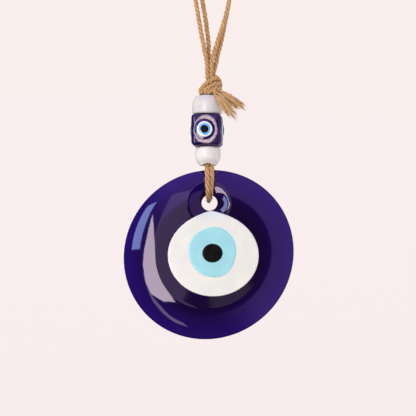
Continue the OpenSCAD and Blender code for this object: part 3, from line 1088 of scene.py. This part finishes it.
def make_world():
    """What the glass reflects: dark in front of the face, a dim violet room to its right."""
    world = bpy.data.worlds.new("room")
    bpy.context.scene.world = world
    world.use_nodes = True
    n = Nodes(world.node_tree)
    background = n.tree.nodes["Background"]
    where = n.add("ShaderNodeTexCoord").outputs["Generated"]
    split = n.add("ShaderNodeSeparateXYZ")
    n.link(where, split.inputs[0])
    depth = n.math("MULTIPLY", n.math("ADD", split.outputs["Y"], 1), 0.5)
    front, room = (0.012, 0.010, 0.020), (0.60, 0.34, 1.25)
    colour = n.ramp(depth, [(0.0, front), (0.046, (0.02, 0.015, 0.03)), (0.058, room),
                            (0.36, room), (0.55, (0.30, 0.26, 0.42)), (1.0, (0.35, 0.32, 0.36))])
    n.link(colour, background.inputs["Color"])
    side = n.add("ShaderNodeVectorMath", operation="DOT_PRODUCT")
    n.link(where, side.inputs[0])
    side.inputs[1].default_value = (0.8, 0, 0.6)
    strength = n.spread(side.outputs["Value"], -0.30, 0.15, 0.12)
    n.link(strength, background.inputs["Strength"])


# How far from the face's middle the reflected lights and, nearer, the reflected panes are
LIGHTS_AT = 1.4
PANES_AT = 1.3
FACE_MIDDLE = Vector((DISC_X, DISC_BACK - DISC_T, DISC_Z))

# The window, with a curtain drawn across it: the bearing and the height in degrees of each corner
WINDOW = [(-34, 22), (-33, 9), (-35, -4), (-34.5, -13), (-32, -19), (-24, -22), (-14.5, -19),
          (-13, -10), (-17, 0), (-26, 9), (-30.5, 16)]
# The sill that runs down and away under it
SILL = [(-34.5, -14), (-33, -24), (-29, -32), (-24, -39), (-15, -43), (-17, -38.5), (-24, -33),
        (-28, -26), (-31.5, -20.5)]


def heading(across, up):
    """The way to a bearing and a height in degrees, seen from the disc's face."""
    across, up = math.radians(across), math.radians(up)
    return Vector((math.sin(across) * math.cos(up), -math.cos(across) * math.cos(up),
                   math.sin(up)))


def add_reflection(name, across, up, radiance):
    """A light that only the glass shows, between two bearings and two heights in degrees."""
    middle = heading(sum(across) / 2, sum(up) / 2)
    width, height = (2 * LIGHTS_AT * math.tan(math.radians(pair[1] - pair[0]) / 2)
                     for pair in (across, up))
    peak = max(radiance)
    add_area(name, FACE_MIDDLE + middle * LIGHTS_AT, FACE_MIDDLE, width, height,
             peak * math.pi * width * height, [c / peak for c in radiance], diffuse=False)


def add_pane(name, corners, radiance):
    """A glowing pane that only the glass shows, with any outline."""
    peak = max(radiance)
    s = Shader(name + "_glow", Base_Color=(0, 0, 0, 1), Specular_IOR_Level=0.0,
               Emission_Color=(*(c / peak for c in radiance), 1), Emission_Strength=peak)
    points = [FACE_MIDDLE + heading(*corner) * PANES_AT for corner in corners]
    pane = mesh_object(name, points, [list(range(len(points)))], s.material, smooth=False)
    for ray in ("camera", "diffuse", "transmission", "shadow"):
        setattr(pane, "visible_" + ray, False)


# -------- the ornament

add_camera()
jute = (jute_material(), hair_material())
turns = make_loop(jute)
knot = make_knot(jute)
tails = [make_tail(name, jute) for name in TAILS]
in_beads = make_bead_strands(jute)
slings = make_sling(jute)

make_glass_disc(cobalt_material())
eye_white = milk_glass_material("eye_white_glass", (0.875, 0.875, 0.81), (0.82, 0.825, 0.77), 0.10,
                                (90, 90, 90), ((0.70, 0.755, 0.80), -0.1345, -0.1295))
pale_blue = poured_material("light_blue_glass", (0.385, 0.765, 0.825), (0.350, 0.715, 0.785), 0.10)
bright_blue = poured_material("bead_blue_glass", (0.165, 0.540, 0.860), (0.130, 0.460, 0.800),
                              0.08)
black = poured_material("black_glass", (0.012, 0.012, 0.011), (0.006, 0.006, 0.006), 0.07)
poured_layer("eye_white_pour", (2.2 * MM, -0.5 * MM), white_outline(), 0.30 * MM, 0.9 * MM, 0,
             eye_white, "white_eye")
poured_layer("eye_iris_pour", (3.3 * MM, 1.1 * MM), iris_outline(), 0.55 * MM, 0.9 * MM, 0.02 * MM,
             pale_blue, "light_blue_iris")
poured_layer("eye_pupil_pour", (1.8 * MM, 0.6 * MM), pupil_outline(), 0.85 * MM, 0.4 * MM,
             0.02 * MM, black, "black_pupil")

upper_white = milk_glass_material("upper_bead_glass", (0.76, 0.75, 0.71), (0.65, 0.64, 0.62),
                                  0.42, (260, 260, 60))
lower_white = milk_glass_material("lower_bead_glass", (0.84, 0.83, 0.79), (0.76, 0.75, 0.73),
                                  0.36, (200, 200, 70))
make_round_bead("upper_bead", 14.6, 8.8, (2.8, 4.4), (0.8, 1.1), 0.020, upper_white)
make_round_bead("lower_bead", 12.4, 8.8, (1.3, 1.5), (2.3, 4.6), 0.014, lower_white,
                mouth=0.3, taper=2.2, notch=1.0)
make_cube_bead(cube_material())
dot_black = poured_material("dot_black_glass", (0.012, 0.012, 0.011), (0.006, 0.006, 0.006), 0.16,
                            shine=0.10)
dot_white = milk_glass_material("dot_white_glass", (0.86, 0.86, 0.86), (0.78, 0.79, 0.81), 0.10,
                                (300, 300, 300))
for face in EYE_FACES:
    make_dot(face, "white", 3.7 * MM, 0.10 * MM, dot_white)
    make_dot(face, "blue", 2.9 * MM, 0.20 * MM, bright_blue)
    make_dot(face, "pupil", 2.0 * MM, 0.30 * MM, dot_black)

make_stage()
make_world()
add_area("key", (-0.9, -0.8, 0.5), (0, 0, -0.13), 1.0, 1.0, 8.2, (0.80, 0.98, 0.98), glossy=False)
add_pane("window", WINDOW, (10.8, 8.7, 10.2))
add_pane("sill", SILL, (2.7, 2.2, 2.5))
add_reflection("curtain", (-25, -2.4), (-15, 34), (0.95, 0.68, 1.15))
add_reflection("sky", (-49, -38), (4, 31), (3.6, 4.6, 9.4))
add_reflection("card", (0, 5), (-8, -3.3), (0.45, 0.42, 0.30))
bpy.context.scene.view_settings.view_transform = "Standard"
